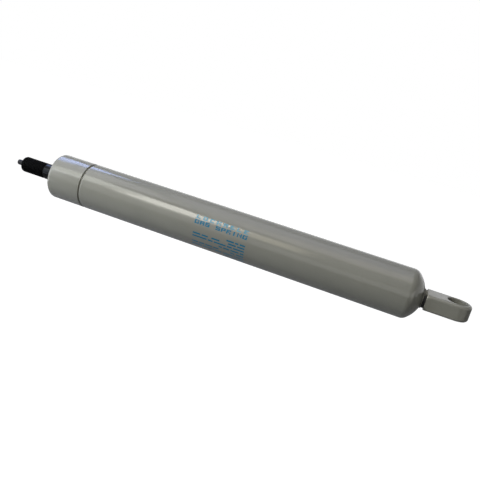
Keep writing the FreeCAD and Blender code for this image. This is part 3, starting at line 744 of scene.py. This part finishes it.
def black_rod_finish():
    """Black nitrided rod: polished where it runs, matt and dusty on the thread."""
    finish, tree, shader, place = new_finish(
        "black_nitrided_rod", Specular_IOR_Level=0.12, Specular_Tint=(0.85, 0.91, 1.0, 1.0))
    dust = use_effect(tree, "fine_dust", place)
    rings = use_effect(tree, "turning_marks", place, Rings_per_metre=9000.0)
    split = tree.nodes.new("ShaderNodeSeparateXYZ")
    tree.links.new(place, split.inputs["Vector"])
    thread = spread(
        tree, split.outputs["X"], (THREAD_START_X - 0.4) * MM, (THREAD_START_X + 0.2) * MM)
    plain = blend_colours(tree, dust["Cloud"], (0.0014, 0.0014, 0.0015), (0.0026, 0.0026, 0.0027))
    matt = blend_colours(tree, dust["Cloud"], (0.0022, 0.0022, 0.0024), (0.0045, 0.0045, 0.0048))
    base = blend_colours(tree, thread, plain, matt)
    speckled = combine(tree, "MULTIPLY", dust["Specks"], 0.05)
    tree.links.new(
        blend_colours(tree, speckled, base, (0.05, 0.05, 0.052)), shader.inputs["Base Color"])
    gloss = spread(tree, rings["Rings"], 0.3, 0.7, 0.06, 0.09)
    tree.links.new(
        combine(tree, "ADD", gloss, combine(tree, "MULTIPLY", thread, 0.52)),
        shader.inputs["Roughness"])
    raise_bumps(tree, shader, rings["Rings"], 0.000001)
    return finish


def turned_metal_finish(name, clean, stained, roughness, rings_per_metre, depth, bareness=1.0):
    """Turned metal, bare at 1 and under a dark conversion layer below that."""
    finish, tree, shader, place = new_finish(
        name, Metallic=bareness, Specular_IOR_Level=0.5 * bareness)
    marks = use_effect(tree, "turning_marks", place, Rings_per_metre=rings_per_metre)
    tree.links.new(blend_colours(tree, marks["Stain"], clean, stained), shader.inputs["Base Color"])
    low, high = roughness
    tree.links.new(
        spread(tree, marks["Rings"], 0.3, 0.7, low, high), shader.inputs["Roughness"])
    raise_bumps(tree, shader, marks["Rings"], depth)
    return finish


def rubber_finish():
    """Matt nitrile rubber with a pale bloom."""
    finish, tree, shader, place = new_finish("nitrile_rubber", Specular_IOR_Level=0.3)
    dust = use_effect(tree, "fine_dust", place)
    bloom = blend_colours(tree, dust["Cloud"], (0.012, 0.012, 0.013), (0.024, 0.024, 0.024))
    speckled = combine(tree, "MULTIPLY", dust["Specks"], 0.35)
    tree.links.new(
        blend_colours(tree, speckled, bloom, (0.09, 0.09, 0.085)), shader.inputs["Base Color"])
    tree.links.new(
        spread(tree, dust["Cloud"], 0.0, 1.0, 0.55, 0.72), shader.inputs["Roughness"])
    raise_bumps(tree, shader, dust["Specks"], 0.00001)
    return finish


def bearing_plastic_finish():
    """Bronze-filled sliding plastic: sand colour with darker flecks of filler."""
    finish, tree, shader, place = new_finish("bronze_filled_ptfe", Specular_IOR_Level=0.4)
    dust = use_effect(tree, "fine_dust", place)
    marks = use_effect(tree, "turning_marks", place, Rings_per_metre=3500.0)
    base = blend_colours(tree, dust["Cloud"], (0.36, 0.30, 0.20), (0.29, 0.235, 0.15))
    tree.links.new(
        blend_colours(tree, dust["Specks"], base, (0.16, 0.10, 0.045)),
        shader.inputs["Base Color"])
    tree.links.new(
        spread(tree, marks["Rings"], 0.3, 0.7, 0.45, 0.58), shader.inputs["Roughness"])
    raise_bumps(tree, shader, marks["Rings"], 0.000008)
    return finish


def neck_painted_shade_finish():
    """Steel round the neck, with painted shade and painted light. The foot's collar is painted
    grey, a little darker than the eye's paint as painted shade. The neck is black as painted shade
    for the gap beside the eye, and its top is grey as painted light where light falls from above.
    What lies inside the tube is bare."""
    finish, tree, shader, place = new_finish("neck_painted_shade")
    marks = use_effect(tree, "turning_marks", place, Rings_per_metre=5000.0)
    paint = use_effect(tree, "sprayed_paint", place)
    split = tree.nodes.new("ShaderNodeSeparateXYZ")
    tree.links.new(place, split.inputs["Vector"])
    inside = spread(tree, split.outputs["X"], (FOOT_X + 0.6) * MM, (FOOT_X + 1.0) * MM)
    # height up the neck, made uneven by the paint's tone: above it the neck's top turns grey as
    # painted light, where light falls from above
    drift = combine(
        tree, "ADD", split.outputs["Z"], combine(tree, "MULTIPLY", paint["Tone"], 0.4 * MM))
    collar = spread(
        tree, split.outputs["X"], (NECK_END_X + 0.03) * MM, (NECK_END_X + 0.08) * MM)
    painted = combine(tree, "MAXIMUM", collar, spread(tree, drift, 3.0 * MM, 4.4 * MM))
    # black on the neck as painted shade for the shadowed gap; grey for the collar's paint and for
    # the painted light on the neck's top
    outside = blend_colours(tree, painted, (0.010, 0.010, 0.012), (0.235, 0.238, 0.212))
    tree.links.new(
        blend_colours(tree, inside, outside, (0.50, 0.50, 0.51)), shader.inputs["Base Color"])
    tree.links.new(inside, shader.inputs["Metallic"])
    tree.links.new(spread(tree, inside, 0.0, 1.0, 0.7, 0.32), shader.inputs["Roughness"])
    raise_bumps(tree, shader, marks["Rings"], 0.000004)
    return finish


def ink_finish(name, full, thin):
    """Screen printed ink, a little thinner in places."""
    finish, tree, shader, place = new_finish(name, Specular_IOR_Level=0.35)
    paint = use_effect(tree, "sprayed_paint", place, Peel_per_metre=1500.0)
    tree.links.new(blend_colours(tree, paint["Tone"], full, thin), shader.inputs["Base Color"])
    tree.links.new(
        spread(tree, paint["Haze"], 0.0, 1.0, 0.28, 0.36), shader.inputs["Roughness"])
    raise_bumps(tree, shader, paint["Peel"], 0.000001)
    return finish


FINISHES = {
    "grey_paint": paint_finish(
        "grey_tube_paint", (0.262, 0.266, 0.238), (0.238, 0.243, 0.218),
        roughness=(0.13, 0.17), peel_height=0.0000012),
    "eye_paint": paint_finish(
        "grey_eye_paint", (0.272, 0.274, 0.244), (0.248, 0.250, 0.224),
        roughness=(0.2, 0.26), peel_height=0.000002),
    "black_rod": black_rod_finish(),
    "dark_pin": turned_metal_finish(
        "dark_hardened_pin", (0.024, 0.025, 0.028), (0.017, 0.018, 0.021),
        roughness=(0.34, 0.44), rings_per_metre=7000.0, depth=0.000002, bareness=0.3),
    "bright_steel": turned_metal_finish(
        "turned_steel", (0.50, 0.50, 0.51), (0.40, 0.40, 0.41),
        roughness=(0.26, 0.38), rings_per_metre=5000.0, depth=0.000006),
    "aluminium": turned_metal_finish(
        "turned_aluminium", (0.66, 0.67, 0.69), (0.56, 0.57, 0.59),
        roughness=(0.28, 0.4), rings_per_metre=4200.0, depth=0.000007),
    "brass": turned_metal_finish(
        "turned_brass", (0.62, 0.44, 0.17), (0.50, 0.34, 0.12),
        roughness=(0.24, 0.36), rings_per_metre=5200.0, depth=0.000005),
    "seal_rubber": rubber_finish(),
    "bearing_plastic": bearing_plastic_finish(),
}
PALE_INK = ink_finish("pale_blue_ink", (0.065, 0.27, 0.41), (0.085, 0.27, 0.385))
DARK_INK = ink_finish("dark_blue_ink", (0.010, 0.140, 0.255), (0.016, 0.150, 0.255))
NECK_STEEL_PAINTED_SHADE = neck_painted_shade_finish()


def dress(piece, body, slot, *nodes):
    """Give a piece its finish, its body and the CAD nodes that it stands for."""
    piece.data.materials.append(FINISHES[slot])
    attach(piece, body)
    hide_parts(*nodes)


def dress_carried_nodes(replaced):
    """Give each CAD node that stays the finish of its own slot. The foot plug's collar stands out
    beside the neck and takes the neck's finish, with its painted shade and painted light."""
    for name, node in frame["nodes"].items():
        if name in replaced:
            continue
        for slot in node.material_slots:
            wanted = slot.material.name.split(".")[0]
            slot.material = NECK_STEEL_PAINTED_SHADE if name == "foot_plug" else FINISHES[wanted]


# Stage, lamps and camera

def seen_rays(tree):
    """1 for what the camera, a reflection or glass sees, 0 for light that only falls on things."""
    path = tree.nodes.new("ShaderNodeLightPath")
    glossy = combine(tree, "MAXIMUM", path.outputs["Is Camera Ray"], path.outputs["Is Glossy Ray"])
    return combine(tree, "MAXIMUM", glossy, path.outputs["Is Transmission Ray"])


def world_light():
    """A pale room: plain white for the camera, white walls and a duller ceiling in reflections."""
    world = bpy.data.worlds.new("pale_room")
    bpy.context.scene.world = world
    world.use_nodes = True
    tree = world.node_tree
    output = tree.nodes["World Output"]
    ambient = tree.nodes["Background"]
    ambient.inputs["Color"].default_value = (0.86, 0.93, 1.0, 1.0)
    ambient.inputs["Strength"].default_value = 0.04
    split = tree.nodes.new("ShaderNodeSeparateXYZ")
    way = tree.nodes.new("ShaderNodeTexCoord").outputs["Generated"]
    tree.links.new(way, split.inputs["Vector"])
    room = spread(tree, split.outputs["Z"], 0.24, 0.36, 1.0, 0.5)
    camera = tree.nodes.new("ShaderNodeLightPath").outputs["Is Camera Ray"]
    white = tree.nodes.new("ShaderNodeBackground")
    white.inputs["Color"].default_value = (1.0, 1.0, 1.0, 1.0)
    tree.links.new(combine(tree, "MAXIMUM", camera, room), white.inputs["Strength"])
    mix = tree.nodes.new("ShaderNodeMixShader")
    tree.links.new(seen_rays(tree), mix.inputs["Fac"])
    tree.links.new(ambient.outputs["Background"], mix.inputs[1])
    tree.links.new(white.outputs["Background"], mix.inputs[2])
    tree.links.new(mix.outputs["Shader"], output.inputs["Surface"])


def make_floor():
    """A wide floor well below the strut: white to the camera, a dim grey to all else."""
    put_down()
    bpy.ops.mesh.primitive_plane_add(size=8.0, location=(0.14, 0, -0.2))
    floor = bpy.context.object
    name_piece(floor, "pale_floor")
    settle(floor)
    finish = bpy.data.materials.new("pale_floor")
    finish.use_nodes = True
    tree = finish.node_tree
    shader = tree.nodes["Principled BSDF"]
    shader.inputs["Base Color"].default_value = (0.30, 0.30, 0.30, 1.0)
    shader.inputs["Roughness"].default_value = 0.9
    shader.inputs["Specular IOR Level"].default_value = 0.0
    glow = tree.nodes.new("ShaderNodeEmission")
    camera = tree.nodes.new("ShaderNodeLightPath").outputs["Is Camera Ray"]
    reflected = combine(tree, "MULTIPLY", seen_rays(tree), 0.12)
    glow_strength = combine(tree, "MAXIMUM", camera, reflected)
    tree.links.new(glow_strength, glow.inputs["Strength"])
    both = tree.nodes.new("ShaderNodeAddShader")
    tree.links.new(shader.outputs["BSDF"], both.inputs[0])
    tree.links.new(glow.outputs["Emission"], both.inputs[1])
    tree.links.new(both.outputs["Shader"], tree.nodes["Material Output"].inputs["Surface"])
    floor.data.materials.append(finish)


def soft_lamp(name, place, aim, width, height, brightness, colour):
    """A rectangular softbox; brightness is how bright its face looks, with white paper at 1."""
    put_down()
    bpy.ops.object.light_add(type="AREA", location=place)
    lamp = bpy.context.object
    lamp.name = name
    lamp.data.shape = "RECTANGLE"
    lamp.data.size = width
    lamp.data.size_y = height
    lamp.data.energy = brightness * math.pi * width * height
    lamp.data.color = colour
    lamp.visible_camera = False
    toward = Vector(aim) - Vector(place)
    lamp.rotation_euler = toward.to_track_quat("-Z", "Y").to_euler()


def make_lamps():
    """A softbox in front with its soft edges, a window behind, and large dim panels."""
    strut = (0.17, 0, 0)
    cool = (0.92, 0.95, 1.0)
    sky = (0.43, 0.55, 1.0)
    soft_lamp("key_core", (0.382, 0.436, 0.368), strut, 0.17, 0.22, 7.4, (1.0, 0.98, 0.90))
    soft_lamp("key_veil", (0.387, 0.463, 0.333), strut, 0.16, 0.31, 2.0, (1.0, 1.0, 0.92))
    soft_lamp("key_wing", (0.545, 0.355, 0.384), strut, 0.16, 0.24, 4.3, (0.98, 1.0, 0.94))
    soft_lamp("key_edge", (0.234, 0.461, 0.375), strut, 0.14, 0.24, 2.4, (1.0, 0.91, 0.70))
    soft_lamp("window", (0.6, -0.190, 0.488), strut, 0.30, 0.15, 6.2, sky)
    soft_lamp("rod_end_fill", (0.55, 0.199, 0.030), strut, 0.30, 0.40, 3.3, cool)
    soft_lamp("foot_end_fill", (-0.5, 0.25, 0.0), strut, 0.4, 0.4, 0.75, (1.0, 0.98, 0.92))
    soft_lamp("overhead", (0.2, 0.011, 0.752), (0.12, 0, 0), 0.8, 0.5, 0.85, (0.85, 0.83, 1.0))
    soft_lamp("overhead_left", (0.65, 0.116, 0.657), strut, 0.4, 0.4, 1.4, (0.94, 0.92, 1.0))
    soft_lamp("front_fill", (0.05, 0.174, 0.510), (0.1, 0, 0), 0.4, 0.3, 0.6, (1.0, 0.88, 0.6))


def make_camera():
    """The photograph's place: in front, a little above, tipped so that the strut runs downhill."""
    put_down()
    # solved from the tube's outlines, the ellipses of its ends and the groove in the photo
    place = Vector((0.0427, 0.3071, 0.0795))
    ahead = Vector((0.24785, -0.93635, -0.24862))
    roll = math.radians(15.03)
    bpy.ops.object.camera_add(location=place)
    camera = bpy.context.object
    camera.name = "photo_camera"
    level = ahead.to_track_quat("-Z", "Y")
    camera.rotation_euler = (level @ Quaternion((0, 0, 1), roll)).to_euler()
    camera.data.sensor_width = 36.0
    camera.data.sensor_fit = "HORIZONTAL"
    camera.data.lens = 42.0
    camera.data.clip_start = 0.01
    bpy.context.scene.camera = camera


# The strut, piece by piece

dress(make_pressure_tube(), "barrel", "grey_paint", "pressure_tube")

eye = make_eye()
dress(eye, "barrel", "eye_paint", "eye")
eye.data.materials.append(NECK_STEEL_PAINTED_SHADE)
# all that lies beyond the blade's root takes the neck's finish
open_up(eye)
pick(eye, "FACE", lambda face: face.calc_center_median().x > (BLADE_REACH + 0.01) * MM)
eye.active_material_index = 1
bpy.ops.object.material_slot_assign()
bpy.ops.object.mode_set(mode="OBJECT")

dress(make_wiper(), "barrel", "seal_rubber", "wiper_ring")
dress(make_rod(), "rod", "black_rod", "piston_rod")
dress(make_release_pin(), "release_train", "dark_pin", "release_pin")

for mark, ink in ((make_pale_print(), PALE_INK), (make_dark_print(), DARK_INK)):
    mark.data.materials.append(ink)
    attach(mark, "barrel")

dress_carried_nodes({"pressure_tube", "eye", "wiper_ring", "piston_rod", "release_pin"})

world_light()
make_floor()
make_lamps()
make_camera()
bpy.context.scene.view_settings.view_transform = "Standard"
